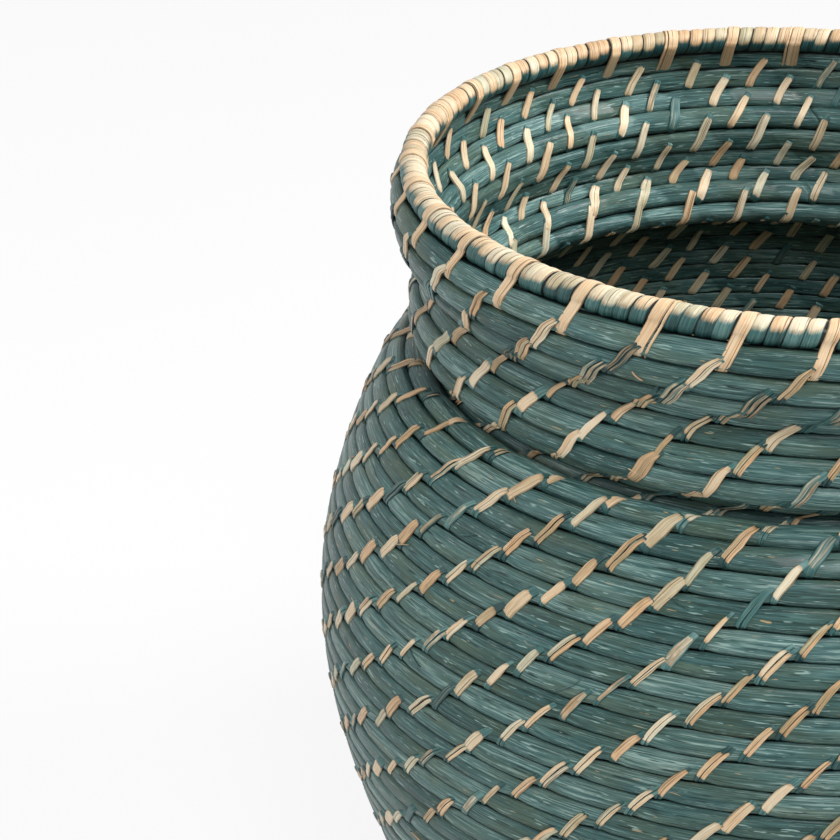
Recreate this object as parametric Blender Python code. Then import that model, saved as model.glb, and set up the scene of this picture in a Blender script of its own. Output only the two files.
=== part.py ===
"""Coiled straw basket: one bundle wound from a flat base, up a round belly and a two-roll collar."""
import bpy
import bmesh
import numpy as np
from mathutils import Vector

# Driving sizes, in metres. The origin is the middle of the base, on the floor.
RIM_RADIUS = 0.130            # to the middle of the rim's tube
RIM_THICKNESS = 0.0086        # diameter of the rim's tube over its whipping
COIL_PITCH = 0.0079           # from the middle of one turn to the middle of the next
COIL_GAP = 0.0006             # clear space between two turns
SPLICE_GAP = 0.0004           # clear space between the butted ends of two bundles
KNOT_CLEARANCE = 0.0003       # between the starting knot and the first turn wound round it
KNOT_HEIGHT = 0.0066
KNOT_ROUNDING = 0.0016
SPLINT_WIDTH = 0.0042         # overcast splint over the rim
SPLINT_THICKNESS = 0.0009
SPLINT_CLEARANCE = 0.0003     # between a splint and the bundle under it
SPLINT_SLANT = 0.0060         # how far a splint leans along the rim on its way down
CUT_OVERRUN = 0.002           # how far the cutter reaches past what it cuts

COIL_DIAMETER = COIL_PITCH - COIL_GAP
COIL_RADIUS = COIL_DIAMETER / 2
RIM_STEP = (RIM_THICKNESS + COIL_DIAMETER) / 2 + COIL_GAP
FLAT_CUT = COIL_DIAMETER / 10  # the base is pressed flat by a tenth of its bundle

# How far each turn leans out from the one above it: turn below the rim, degrees from straight down.
LEAN_STATIONS = [
    (0, 25), (1, -2), (2, -21), (3, -44), (4, -1), (5, 20), (6, 1), (7, -49), (8, -8), (9, 77),
    (10, 55), (11, 35), (12, 24), (14, 20), (18, 12), (22, 0), (27, -13), (32, -20), (37, -36),
    (41, -62), (44, -90),
]
FLAT_TURN = 44                # first turn that lies wholly in the flat base

# A turn runs level for most of its way round and rises to the next one over the rest.
LEVEL_START = 70.0            # azimuth in degrees where the level stretch begins
CLIMB_SPAN = 155.0            # degrees taken by the rise
FULL_TURN = 360.0
POINTS_PER_TURN = 20
TUBE_RESOLUTION = 1           # gives the bundle six sides
RIM_SIDES = 8
KNOT_SIDES = 12
KNOT_ROUNDING_STEPS = 2
WELD_SHARE = 0.01             # corners closer than this share of the gap between turns are one corner
TAPER_END_SHARE = 0.75        # share of the last rise at which the thinned end of the bundle stops
TAIL_MIDDLE_SHARE = 0.5       # share of it past which the splints go over the rising turn instead
SPLINT_COUNT = 34
SPLINT_PHASE = 8.9            # azimuth in degrees of the first splint's middle
RIM_WRAP_DEGREES = [180, 135, 90, 45, 0]  # round the rim's section, from its inner side over the top
TURN_WRAP_DEGREES = [0, -50]              # and down the outer side of the turn below it
CORNERS = [(-1, 0), (1, 0), (1, 1), (-1, 1)]  # of a flat splint's section: side, layer

# The lengths of bundle, from the rim down: name, the turn it ends at, the turn it starts at, colour.
BUNDLES = [
    ("upper_collar_coil", 0, 4, (0.16, 0.29, 0.30)),
    ("lower_collar_coil", 4, 8, (0.13, 0.25, 0.26)),
    ("shoulder_coil", 8, 20, (0.17, 0.31, 0.32)),
    ("belly_coil", 20, 32, (0.14, 0.27, 0.28)),
    ("foot_coil", 32, 44, (0.17, 0.31, 0.32)),
]
BASE_COLOUR = (0.14, 0.25, 0.26)
KNOT_COLOUR = (0.60, 0.45, 0.28)
RIM_COLOUR = (0.62, 0.48, 0.31)
SPLINT_COLOUR = (0.72, 0.56, 0.36)
BUNDLE_ROUGHNESS = 0.55
SPLINT_ROUGHNESS = 0.45


def clear_scene():
    for item in list(bpy.data.objects):
        bpy.data.objects.remove(item, do_unlink=True)


def make_collection(name):
    group = bpy.data.collections.new(name)
    bpy.context.scene.collection.children.link(group)
    return group


def straw_material(name, colour, roughness):
    material = bpy.data.materials.new(name)
    material.use_nodes = True
    shader = material.node_tree.nodes["Principled BSDF"]
    shader.inputs["Base Color"].default_value = (*colour, 1.0)
    shader.inputs["Roughness"].default_value = roughness
    shader.inputs["Metallic"].default_value = 0.0
    return material


def lean(turn):
    """Lean of the wall below this turn, in radians from straight down, outwards positive."""
    turns, degrees = zip(*LEAN_STATIONS)
    return np.radians(np.interp(turn, turns, degrees))


def wall_section():
    """Radii and heights of the turns, from the middle of the rim down to the middle of the base.

    The section is a chain of steps of one pitch, so that two turns never come closer than that,
    however sharply the wall bends.
    """
    radii, heights = [RIM_RADIUS], [0.0]
    step = RIM_STEP
    while radii[-1] > step:
        angle = lean(len(radii) - 1)
        radii.append(radii[-1] + step * np.sin(angle))
        heights.append(heights[-1] - step * np.cos(angle))
        step = COIL_PITCH
    return radii, heights


def section_point(depth):
    """Radius and height of the bundle's middle, this many turns below the middle of the rim."""
    radii, heights = wall_section()
    turns = np.arange(len(radii))
    return np.array((np.interp(depth, turns, radii), np.interp(depth, turns, heights)))


def section_thickness(depth):
    """Share of its full thickness that the bundle keeps between the turns above and below it."""
    here = section_point(depth)
    room = min(
        np.linalg.norm(section_point(depth - 1.0) - here),
        np.linalg.norm(section_point(depth + 1.0) - here),
    )
    return min(1.0, (room - COIL_GAP) / COIL_DIAMETER)


def tail_thickness(rise):
    """Share of its full thickness that the top turn keeps where the turn below has risen so far."""
    return ((1.0 - rise) * COIL_PITCH - COIL_GAP) / COIL_DIAMETER


def start_turn():
    """The innermost turn of the base, between one and two pitches from the middle."""
    return len(wall_section()[0]) - 2


def rim_height():
    """Height of the middle of the rim over the floor that the pressed base stands on."""
    return COIL_RADIUS - FLAT_CUT - section_point(FLAT_TURN)[1]


def climb(degrees):
    """Share of the rise to the next turn that is done at this angle past the start of a turn."""
    share = np.clip((degrees - (FULL_TURN - CLIMB_SPAN)) / CLIMB_SPAN, 0.0, 1.0)
    return share * share * (3.0 - 2.0 * share)


def facet_radius(radius, azimuth):
    """Radius of the polygon that stands for this circle, at an azimuth in degrees.

    The polygon's corners lie as far outside the circle as the middles of its sides lie inside.
    """
    half = FULL_TURN / POINTS_PER_TURN / 2
    off_middle = np.radians((azimuth - LEVEL_START) % (2 * half) - half)
    side = np.cos(np.radians(half))
    return radius * 2.0 / (1.0 + side) * side / np.cos(off_middle)


def place(radius, height, azimuth):
    angle = np.radians(azimuth)
    return Vector((radius * np.cos(angle), radius * np.sin(angle), rim_height() + height))


def bundle_path(end_turn, begin_turn):
    """Points and thickness of a bundle wound upwards from one turn to another.

    It begins and ends in the middle of a side of the polygon, where two bundles butt squarely.
    """
    facet = FULL_TURN / POINTS_PER_TURN
    stations = [(begin_turn, facet / 2)]
    for turn in range(begin_turn, end_turn, -1):
        for step in range(POINTS_PER_TURN):
            stations.append((turn, (step + 1) * facet))
    if end_turn > 0:
        stations.append((end_turn, facet / 2))
    points = []
    for turn, degrees in stations:
        rise = climb(degrees)
        if turn > 1:
            depth = turn - rise
            thickness = section_thickness(depth)
        elif rise < TAPER_END_SHARE:
            depth = 1.0 - rise / 2
            thickness = tail_thickness(rise)
        else:
            break
        radius, height = section_point(depth)
        azimuth = LEVEL_START + degrees
        points.append((place(facet_radius(radius, azimuth), height, azimuth), thickness))
    return points


def trim_end(points, index, neighbour):
    """Draws one end of a bundle back by half the splice gap."""
    end, thickness = points[index]
    direction = (points[neighbour][0] - end).normalized()
    points[index] = (end + direction * SPLICE_GAP / 2, thickness)


def least_gap(points):
    """Least clear space between turns of one bundle, measured on its points."""
    spots = np.array([point for point, thickness in points])
    sizes = np.array([thickness for point, thickness in points]) * COIL_RADIUS
    least = np.inf
    for index in range(len(spots) - POINTS_PER_TURN // 2):
        later = slice(index + POINTS_PER_TURN // 2, None)
        away = np.linalg.norm(spots[later] - spots[index], axis=1) - sizes[later] - sizes[index]
        least = min(least, away.min())
    return least


def tube(name, points, group, material):
    curve = bpy.data.curves.new(name, "CURVE")
    curve.dimensions = "3D"
    curve.twist_mode = "Z_UP"
    curve.bevel_depth = COIL_RADIUS
    curve.bevel_resolution = TUBE_RESOLUTION
    curve.use_fill_caps = True
    spline = curve.splines.new("POLY")
    spline.points.add(len(points) - 1)
    for target, (point, thickness) in zip(spline.points, points):
        target.co = (*point, 1.0)
        target.radius = thickness
    curve.materials.append(material)
    tube_object = bpy.data.objects.new(name, curve)
    group.objects.link(tube_object)
    return tube_object


def bundle(name, end_turn, begin_turn, group, material):
    points = bundle_path(end_turn, begin_turn)
    trim_end(points, 0, 1)
    trim_end(points, -1, -2)
    print(f"{name}: least gap to itself {least_gap(points) * 1000:.2f} mm")
    return tube(name, points, group, material)


def as_mesh(curve_object):
    """Turns a curve object into a mesh object whose caps are joined to its tube."""
    graph = bpy.context.evaluated_depsgraph_get()
    mesh = bpy.data.meshes.new_from_object(curve_object.evaluated_get(graph))
    shape = bmesh.new()
    shape.from_mesh(mesh)
    bmesh.ops.remove_doubles(shape, verts=shape.verts, dist=WELD_SHARE * COIL_GAP)
    bmesh.ops.recalc_face_normals(shape, faces=shape.faces)
    shape.to_mesh(mesh)
    shape.free()
    name = curve_object.name
    mesh_object = bpy.data.objects.new(name + "_mesh", mesh)
    mesh_object.matrix_world = curve_object.matrix_world
    curve_object.users_collection[0].objects.link(mesh_object)
    bpy.data.objects.remove(curve_object, do_unlink=True)
    mesh_object.name = name
    return mesh_object


def floor_cutter(group):
    """A slab below the floor, which presses the base flat."""
    width = 2 * section_point(FLAT_TURN)[0] + 2 * COIL_DIAMETER
    depth = FLAT_CUT + CUT_OVERRUN
    bpy.ops.mesh.primitive_cube_add(size=1.0, location=(0, 0, -depth / 2))
    slab = bpy.context.object
    slab.name = "floor_cutter"
    slab.scale = (width, width, depth)
    bpy.context.view_layer.update()
    slab.data.transform(slab.matrix_world)
    slab.matrix_world.identity()
    slab.hide_render = True
    slab.display_type = "WIRE"
    for owner in list(slab.users_collection):
        owner.objects.unlink(slab)
    group.objects.link(slab)
    return slab


def press_flat(coil, slab):
    """Presses the underside of a bundle flat on the floor."""
    cut = as_mesh(coil).modifiers.new("flat_underside", "BOOLEAN")
    cut.operation = "DIFFERENCE"
    cut.solver = "EXACT"
    cut.object = slab


def start_knot(group):
    """The tight knot of straw that the first turn is wound round."""
    facet = FULL_TURN / POINTS_PER_TURN
    inner_turn = facet_radius(section_point(start_turn())[0], LEVEL_START + facet / 2)
    knot_radius = inner_turn - COIL_RADIUS - KNOT_CLEARANCE
    shape = bmesh.new()
    bmesh.ops.create_cone(
        shape, cap_ends=True, segments=KNOT_SIDES,
        radius1=knot_radius, radius2=knot_radius, depth=KNOT_HEIGHT,
    )
    bmesh.ops.translate(shape, verts=shape.verts, vec=(0, 0, KNOT_HEIGHT / 2))
    caps = [face for face in shape.faces if len(face.verts) == KNOT_SIDES]
    edges = [edge for cap in caps for edge in cap.edges]
    bmesh.ops.bevel(
        shape, geom=edges, offset=KNOT_ROUNDING, segments=KNOT_ROUNDING_STEPS,
        profile=0.5, affect="EDGES", material=-1,
    )
    mesh = bpy.data.meshes.new("start_knot")
    shape.to_mesh(mesh)
    shape.free()
    mesh.materials.append(straw_material("knot_straw", KNOT_COLOUR, SPLINT_ROUGHNESS))
    knot = bpy.data.objects.new("start_knot", mesh)
    group.objects.link(knot)
    return knot


def rim_core(group):
    """The level top coil, a closed ring bound with fine whipping."""
    bpy.ops.mesh.primitive_torus_add(
        major_segments=POINTS_PER_TURN, minor_segments=RIM_SIDES,
        major_radius=facet_radius(RIM_RADIUS, LEVEL_START), minor_radius=RIM_THICKNESS / 2,
        location=(0, 0, rim_height()), rotation=(0, 0, np.radians(LEVEL_START)),
    )
    rim = bpy.context.object
    rim.name = "rim_core"
    rim.data.materials.append(straw_material("rim_whipping", RIM_COLOUR, SPLINT_ROUGHNESS))
    for owner in list(rim.users_collection):
        owner.objects.unlink(rim)
    group.objects.link(rim)
    return rim


def splint_stations(degrees_on, over_tail):
    """Where a splint runs, this far past the start of a turn: radius, height, reach and the way it faces.

    It goes round the rim and down the outer side of the turn below it, which is the thinning end of
    the bundle or, past the end's middle, the turn that rises to take its place. A splint at the very
    start or end of a turn stays on the turn that its middle is on.
    """
    corner_rise = SPLINT_WIDTH / 2 * np.tan(np.pi / POINTS_PER_TURN)
    seat = SPLINT_CLEARANCE + corner_rise
    rise = climb(degrees_on)
    if over_tail:
        depth, thickness = 1.0 - rise / 2, tail_thickness(rise)
    else:
        depth, thickness = 2.0 - rise, section_thickness(2.0 - rise)
    radius, height = section_point(depth)
    stations = []
    for degrees in RIM_WRAP_DEGREES:
        stations.append((RIM_RADIUS, 0.0, RIM_THICKNESS / 2 + seat, np.radians(degrees)))
    for degrees in TURN_WRAP_DEGREES:
        stations.append((radius, height, COIL_RADIUS * thickness + seat, np.radians(degrees)))
    return stations


def rim_splint(number, group, material):
    """One flat splint that binds the rim to the top turn, drawn out from station to station."""
    azimuth = SPLINT_PHASE + number * FULL_TURN / SPLINT_COUNT
    degrees_on = (azimuth - LEVEL_START) % FULL_TURN
    half_width = np.degrees(SPLINT_WIDTH / 2 / RIM_RADIUS)
    over_tail = climb(degrees_on) < TAIL_MIDDLE_SHARE
    count = len(RIM_WRAP_DEGREES) + len(TURN_WRAP_DEGREES)
    shape = bmesh.new()
    face = None
    for index in range(count):
        middle = azimuth + np.degrees(SPLINT_SLANT * (0.5 - index / (count - 1)) / RIM_RADIUS)
        ring = []
        for side, layer in CORNERS:
            spot = middle + side * half_width
            stations = splint_stations(degrees_on + spot - azimuth, over_tail)
            radius, height, reach, angle = stations[index]
            reach += layer * SPLINT_THICKNESS
            flat = facet_radius(radius + reach * np.cos(angle), spot)
            ring.append(place(flat, height + reach * np.sin(angle), spot))
        if face is None:
            face = shape.faces.new([shape.verts.new(corner) for corner in ring])
            continue
        face = bmesh.ops.extrude_discrete_faces(shape, faces=[face])["faces"][0]
        for corner, target in zip(face.verts, ring):
            corner.co = target
    open_end = [edge for edge in shape.edges if edge.is_boundary]
    bmesh.ops.holes_fill(shape, edges=open_end, sides=len(CORNERS))
    bmesh.ops.recalc_face_normals(shape, faces=shape.faces)
    name = f"rim_splint_{number + 1:02d}"
    mesh = bpy.data.meshes.new(name)
    shape.to_mesh(mesh)
    shape.free()
    mesh.materials.append(material)
    splint = bpy.data.objects.new(name, mesh)
    group.objects.link(splint)
    return splint


def main():
    clear_scene()
    basket = make_collection("coiled_basket")
    cutters = make_collection("cutters")
    slab = floor_cutter(cutters)
    start_knot(basket)
    base_material = straw_material("base_coil", BASE_COLOUR, BUNDLE_ROUGHNESS)
    press_flat(bundle("base_coil", FLAT_TURN, start_turn(), basket, base_material), slab)
    for name, end_turn, begin_turn, colour in BUNDLES:
        material = straw_material(name, colour, BUNDLE_ROUGHNESS)
        coil = bundle(name, end_turn, begin_turn, basket, material)
        if begin_turn == FLAT_TURN:
            press_flat(coil, slab)
    rim_core(basket)
    pale_splint = straw_material("pale_splint", SPLINT_COLOUR, SPLINT_ROUGHNESS)
    for number in range(SPLINT_COUNT):
        rim_splint(number, basket, pale_splint)


main()
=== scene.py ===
"""Looks of a coiled straw basket: dyed straw bundles, slanted splint stitches and a whipped rim."""
import math

import bmesh
import bpy
import numpy as np
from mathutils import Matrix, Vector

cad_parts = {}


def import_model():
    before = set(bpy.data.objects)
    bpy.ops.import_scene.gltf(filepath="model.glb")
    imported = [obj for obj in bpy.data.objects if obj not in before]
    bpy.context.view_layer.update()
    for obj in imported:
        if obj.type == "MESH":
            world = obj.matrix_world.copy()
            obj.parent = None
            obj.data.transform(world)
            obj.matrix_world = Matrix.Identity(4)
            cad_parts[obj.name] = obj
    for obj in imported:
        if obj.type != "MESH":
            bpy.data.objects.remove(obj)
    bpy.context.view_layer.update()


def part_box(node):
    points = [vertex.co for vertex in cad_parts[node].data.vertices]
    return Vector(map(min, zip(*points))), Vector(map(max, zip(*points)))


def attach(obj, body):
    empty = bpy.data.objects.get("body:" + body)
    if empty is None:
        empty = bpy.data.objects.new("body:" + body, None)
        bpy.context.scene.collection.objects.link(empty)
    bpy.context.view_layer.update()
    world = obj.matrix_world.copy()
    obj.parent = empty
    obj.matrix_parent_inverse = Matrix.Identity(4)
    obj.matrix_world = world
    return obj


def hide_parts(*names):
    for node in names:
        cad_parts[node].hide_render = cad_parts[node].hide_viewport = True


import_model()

MM = 0.001
FULL_TURN = 360.0

# The course of the bundle, with the same driving sizes as the solids.
RIM_RADIUS = 130.0 * MM
RIM_THICKNESS = 8.6 * MM
COIL_PITCH = 7.9 * MM
COIL_GAP = 0.6 * MM
COIL_DIAMETER = COIL_PITCH - COIL_GAP
RIM_STEP = (RIM_THICKNESS + COIL_DIAMETER) / 2 + COIL_GAP
FLAT_CUT = COIL_DIAMETER / 10
LEAN_STATIONS = [
    (0, 25), (1, -2), (2, -21), (3, -44), (4, -1), (5, 20), (6, 1), (7, -49), (8, -8), (9, 77),
    (10, 55), (11, 35), (12, 24), (14, 20), (18, 12), (22, 0), (27, -13), (32, -20), (37, -36),
    (41, -62), (44, -90),
]
FLAT_TURN = 44
LEVEL_START = 70.0
CLIMB_SPAN = 155.0
CLIMB_SAMPLE = 0.25           # degrees between the places where the climb is looked up
TAPER_END_SHARE = 0.75
TAIL_MIDDLE_SHARE = 0.5       # share of the last rise past which the splints go over the rising turn
INNER_END = -165.0            # the bundle's inner end comes out of the knot here, before its first turn
SPLICE_ANGLE = 9.0            # past the start of a turn, where one length of bundle butts the next
TAIL_TRIM = 3.0               # degrees that the slanted last ring needs

# Bundle of straw.
BUNDLE_HALF_HEIGHT = 3.95 * MM
BUNDLE_HALF_DEPTH = 3.6 * MM
BUNDLE_GIRTH = 24.0 * MM
BUNDLE_SQUARENESS = 4.8       # exponent of its section where the wall is straight
BENT_SQUARENESS = 2.7         # and where it bends sharply
SHARP_BEND = 50.0             # degrees between two steps of the wall
STRAND_COUNT = 19
STRAND_RELIEF = 0.07 * MM
STRAND_WANDER = 0.04 * MM
WANDER_STEP = 4               # rings of points between two random values of a strand's wander
BASE_UNDER_SHARE = 0.64       # share of its outer depth that the bundle keeps under the base
BASE_EDGE_TURNS = 2           # turns over which it comes down to that
WALL_SPREAD = 1.025           # the bundles are pressed against each other,
FLAT_SPREAD = 1.07            # most of all in the base
PINCH_DEPTH = 0.13            # share of its thickness that a stitch takes up
GROOVE_REACH = 0.9 * MM       # painted shade: the bundle is painted dark where the turn beside it is nearer than this
PINCH_WIDTH = 3.4 * MM
RING_SHARES = (0.0, 0.08, 0.19, 0.40, 0.66, 0.84, 0.93)  # rings of points, between two stitches
TUBE_WELD = 0.01 * MM
FULL_LEAN_RADIUS = 105.0 * MM  # nearer the middle of the base the stitches lean less

# Stitches.
STITCH_ANGLE = 10.104         # degrees of travel between two stitches on the belly
COLLAR_STITCH_ANGLE = 10.70
RING_MARGIN = STITCH_ANGLE / 50  # kept clear of rings beside the ends of a length of bundle
COLLAR_TURNS = 8              # turns of the collar, which have the wider spacing
BELLY_STITCH_AT = (15, 228.0)  # turn and azimuth of one stitch's lower end
COLLAR_STITCH_AT = (2, 236.3)
STITCH_SLOPE = 5.7 * MM       # sideways for each turn of height
STITCH_HEIGHT = 1.66          # in turns, from the groove below its bundle to the middle of the next
LEAST_HEIGHT = 0.002          # in turns: no part of a strip starts lower in its groove
UPPER_ROLL_END = 2.6          # turns below the rim, down to which the stitches lean more
UPPER_ROLL_LEAN = 1.22
WAIST_TURNS = (3.2, 4.6)      # the groove between the two rolls, where a stitch reaches higher
WAIST_STITCH_HEIGHT = 1.92
DYED_TURNS = (2.9, 4.3)       # where most stitches are dyed over
DYED_SHARE = 0.75
DYED_SHARE_ELSEWHERE = 0.14
DYED_SHARE_INSIDE = 0.10
STITCH_THICKNESS = 0.55 * MM
STITCH_SEAT = 0.04 * MM
FLOOR_GAP = 0.05 * MM
DYE_EDGE = 6.0                # how fast the dye of a stitch gives way to bare cane, along its length
OUTER_BRIDGE = 0.15           # how far beside a groove a stitch leaves the bundle to cross it
INNER_BRIDGE = 0.32
HOLLOW_BRIDGE = 0.25          # and how much farther where the wall is hollow
LEAST_STITCH_SPACING = 13.5 * MM
STRIP_SECTION = [(-1.0, 0.0), (-0.84, 0.86), (0.0, 1.0), (0.84, 0.86), (1.0, 0.0)]
STRIP_SHARES = (0.0, 0.035, 0.10, 0.21, 0.34, 0.47, 0.57, 0.66, 0.76, 0.86, 0.94, 1.0)
BLANK_WELD = 0.001            # in the blank's own units
TAPER_RISE = 2.2              # how fast a strip narrows towards its upper end, once past its middle
TAPER_DELAY = 1.2
SINK_FROM = 0.93              # share of its length past which a strip sinks into the groove
SINK_SPAN = 0.07
SINK = 0.9 * MM
FIBRE_COUNT = 90
FIBRE_SINK = 0.2 * MM
STRIP_SMOOTH = 35.0           # degrees between faces up to which an edge is shaded smooth

# How the stitches of a stretch are made: for draws below the first number, how many strips there are,
# and the least and greatest width in millimetres. Each stretch ends so many turns below the rim.
STITCH_MAKES = [
    (2.5, [(1.0, 2, 2.7, 3.4)]),
    (4.4, [(0.6, 3, 3.8, 4.7), (1.0, 2, 2.8, 3.6)]),
    (math.inf, [(0.14, 1, 3.5, 4.3), (0.46, 1, 2.4, 3.2), (0.64, 1, 1.6, 2.2), (1.0, 2, 2.4, 3.4)]),
]

# Rim. Its wide splints are drawn a little wider and thinner than the solids.
SPLINT_COUNT = 34
SPLINT_PHASE = 8.9
SPLINT_WIDTH = 4.5 * MM
SPLINT_THICKNESS = 0.7 * MM
SPLINT_SLANT = 5.2 * MM        # sideways, from the top of the rim to the groove below the next turn
SPLINT_DROP = 16.0 * MM
SPLINT_TOP_SHARE = 0.40       # share of its way at which a wide splint passes the top of the rim
SPLINT_LENGTH = 38.0 * MM
SPLINT_BED_LIFT = 0.10 * MM
SPLINT_SECTION = [(-1.0, 0.0), (-0.9, 0.8), (-0.4, 1.0), (0.4, 1.0), (0.9, 0.8), (1.0, 0.0)]
SPLINT_STEPS = 40
SPLINT_WIDTH_SHARES = ((0.0, 0.55, 0.8, 1.0), (1.0, 1.0, 0.84, 0.88))  # along its way
INNER_STATIONS = (232, 205)   # degrees round the turn below the rim, on its inner side
RIM_STATIONS = (196, 172, 148, 124, 100, 76, 52, 28, 4, -18)  # and round the rim
OUTER_STATIONS = (28, 4, -20, -44, -64)  # and round the turn below again, on its outer side
NARROW_SHARE = 0.35           # share of the wide splints that have a narrow one beside them
NARROW_GAP = 0.15 * MM
SPLINT_DYE = 0.45             # at its lower end
SPLINT_DYE_REACH = 0.08       # share of its length
SPLINT_SMOOTH = 45.0
WRAPS_PER_SPLINT = 4
WRAP_THICKNESS = 0.45 * MM
WRAP_SECTION = [(-1.0, 0.0), (-0.82, 0.7), (0.0, 1.0), (0.82, 0.7), (1.0, 0.0)]
WRAP_STEPS = 20
WRAP_START = -100.0           # degrees round the rim's section where a wrap begins, below the rim
WRAP_TOP = -270.0             # and where it passes the top
WRAP_CLEARANCE = 0.2 * MM     # between a wide splint and the wrap beside it
WRAP_DYE_INSIDE = 0.35        # how much lower the dye starts on the inner side, where it is partly painted shade under the rim
WRAP_DYE_EDGE = 1.1
WRAP_SMOOTH = 40.0
FAR_SIDE_SHADE = 0.3               # painted shade: the wraps at the far side are darker and browner
WRAP_ADVANCE = 6.6 * MM       # sideways for each whole turn round the rim
WRAP_BED = RIM_THICKNESS / 2 - 0.35 * MM  # radius of the tube that the wraps lie on
RIM_STEPS = 170
RIM_COLUMNS = 12

# Knot.
KNOT_BINDING_COUNT = 4
KNOT_SIDES = 24
KNOT_RINGS = 16
KNOT_LOBES = 5
KNOT_TWIST = 14.0
KNOT_LOBE_DEPTH = 0.05
KNOT_RIDGES = 16.0
KNOT_RIDGE_DEPTH = 0.12
KNOT_TONE = 0.5
KNOT_DYE = 0.3

# Studio.
FLOOR_REACH = 6.0
FLOOR_COLOUR = (0.85, 0.85, 0.85, 1.0)
FLOOR_GLOW = 0.9              # share of plain white in what the camera and reflections see of the floor
WHITE = (1.0, 1.0, 1.0, 1.0)
SKY_LIGHT = 0.10
SENSOR_WIDTH = 36.0
LENS = 102.56
CAMERA_PLACE = (-0.12779, -0.72747, 0.57941)
CAMERA_TILT = 62.817
LAMPS = [  # name, place, what it is aimed at, size, power
    ("over_front", (0.10, -0.90, 1.40), (-0.05, 0.05, 0.28), 0.6, 14.5),
    ("over_right", (0.95, 0.00, 1.20), (-0.10, 0.05, 0.28), 0.6, 24.0),
    ("sparkle", (0.05, -0.60, 1.10), (0.0, 0.1, 0.28), 0.06, 0.5),
    ("left", (-1.80, -0.30, 1.05), (0.0, 0.0, 0.15), 1.5, 15.0),
]

random_draw = np.random.default_rng(20)


def between(least, most, count=None):
    """A random number between these two, or so many of them."""
    return random_draw.uniform(least, most, count)


def wall_section():
    """Radii and heights of the turns, from the middle of the rim down to the middle of the base."""
    turns, degrees = zip(*LEAN_STATIONS)
    radii, heights = [RIM_RADIUS], [0.0]
    step = RIM_STEP
    while radii[-1] > step:
        angle = math.radians(np.interp(len(radii) - 1, turns, degrees))
        radii.append(radii[-1] + step * math.sin(angle))
        heights.append(heights[-1] - step * math.cos(angle))
        step = COIL_PITCH
    return np.array(radii), np.array(heights)


TURN_RADII, TURN_HEIGHTS = wall_section()
TURNS = np.arange(len(TURN_RADII))
START_TURN = len(TURN_RADII) - 2
RIM_HEIGHT = COIL_DIAMETER / 2 - FLAT_CUT - TURN_HEIGHTS[FLAT_TURN]
LAST_TURN_START = (START_TURN - 1) * FULL_TURN


def turn_normals():
    """The way out of the wall at each turn, halfway between its steps to the turns beside it."""
    radii = np.concatenate(([2 * TURN_RADII[0] - TURN_RADII[1]], TURN_RADII,
                            [2 * TURN_RADII[-1] - TURN_RADII[-2]]))
    heights = np.concatenate(([2 * TURN_HEIGHTS[0] - TURN_HEIGHTS[1]], TURN_HEIGHTS,
                              [2 * TURN_HEIGHTS[-1] - TURN_HEIGHTS[-2]]))
    steps = np.stack([radii[:-1] - radii[1:], heights[:-1] - heights[1:]], axis=1)
    steps /= np.linalg.norm(steps, axis=1)[:, None]
    up = steps[:-1] + steps[1:]
    up /= np.linalg.norm(up, axis=1)[:, None]
    bends = np.degrees(np.arccos(np.clip((steps[:-1] * steps[1:]).sum(axis=1), -1.0, 1.0)))
    return up[:, 1], -up[:, 0], bends


NORMAL_OUT, NORMAL_UP, BENDS = turn_normals()
STEP_DEGREES = np.interp(TURNS, *zip(*LEAN_STATIONS))
HOLLOWS = np.diff(STEP_DEGREES, prepend=STEP_DEGREES[0])  # above 0 where the outside of the wall is hollow


def section_point(depth):
    """Radius and height of the bundle's middle, this many turns below the middle of the rim."""
    return np.interp(depth, TURNS, TURN_RADII), np.interp(depth, TURNS, TURN_HEIGHTS)


def section_normal(depth):
    out = np.interp(depth, TURNS, NORMAL_OUT)
    up = np.interp(depth, TURNS, NORMAL_UP)
    length = np.hypot(out, up)
    return out / length, up / length


def section_thickness(depth):
    """Share of its full thickness that the bundle keeps between the turns above and below it."""
    radius, height = section_point(depth)
    above_radius, above_height = section_point(depth - 1.0)
    below_radius, below_height = section_point(depth + 1.0)
    above = np.hypot(above_radius - radius, above_height - height)
    below = np.hypot(below_radius - radius, below_height - height)
    room = np.where(depth > START_TURN, above, (above + below) / 2)
    return np.minimum(1.0, (room - COIL_GAP) / COIL_DIAMETER)


def squareness(depth):
    """Exponent of the bundle's section, which is rounder where the wall bends."""
    bend = np.interp(depth, TURNS, BENDS)
    share = np.clip(bend / SHARP_BEND, 0.0, 1.0)
    return BUNDLE_SQUARENESS + (BENT_SQUARENESS - BUNDLE_SQUARENESS) * share


def under_share(depth):
    """Share of its depth that the bundle keeps on its outer side, which is pressed flat under the base."""
    return np.interp(depth, (FLAT_TURN - BASE_EDGE_TURNS, FLAT_TURN), (1.0, BASE_UNDER_SHARE))


def tail_thickness(rise):
    """Share of its thickness that the top turn keeps where the turn below has risen so far."""
    return ((1.0 - rise) * COIL_PITCH - COIL_GAP) / COIL_DIAMETER


def climb(degrees):
    """Share of the rise to the next turn that is done at this angle past the start of a turn."""
    share = np.clip((degrees - (FULL_TURN - CLIMB_SPAN)) / CLIMB_SPAN, 0.0, 1.0)
    return share * share * (3.0 - 2.0 * share)


def angle_at_climb(target):
    """The angle past the start of a turn at which this share of the rise is done."""
    degrees = np.arange(0.0, FULL_TURN, CLIMB_SAMPLE)
    return degrees[climb(degrees) < target][-1]


TAIL_END = LAST_TURN_START + angle_at_climb(TAPER_END_SHARE)
# From here on the rim is bound.
SPLINTS_START = LAST_TURN_START - FULL_TURN + angle_at_climb(TAIL_MIDDLE_SHARE)


def bundle_depth(travel):
    """Turns below the rim, after this many degrees of travel from the start of the bundle."""
    turns = np.floor(travel / FULL_TURN)
    return START_TURN - turns - climb(travel - turns * FULL_TURN)


def bundle_radius(travel):
    return section_point(bundle_depth(travel))[0]


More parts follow.
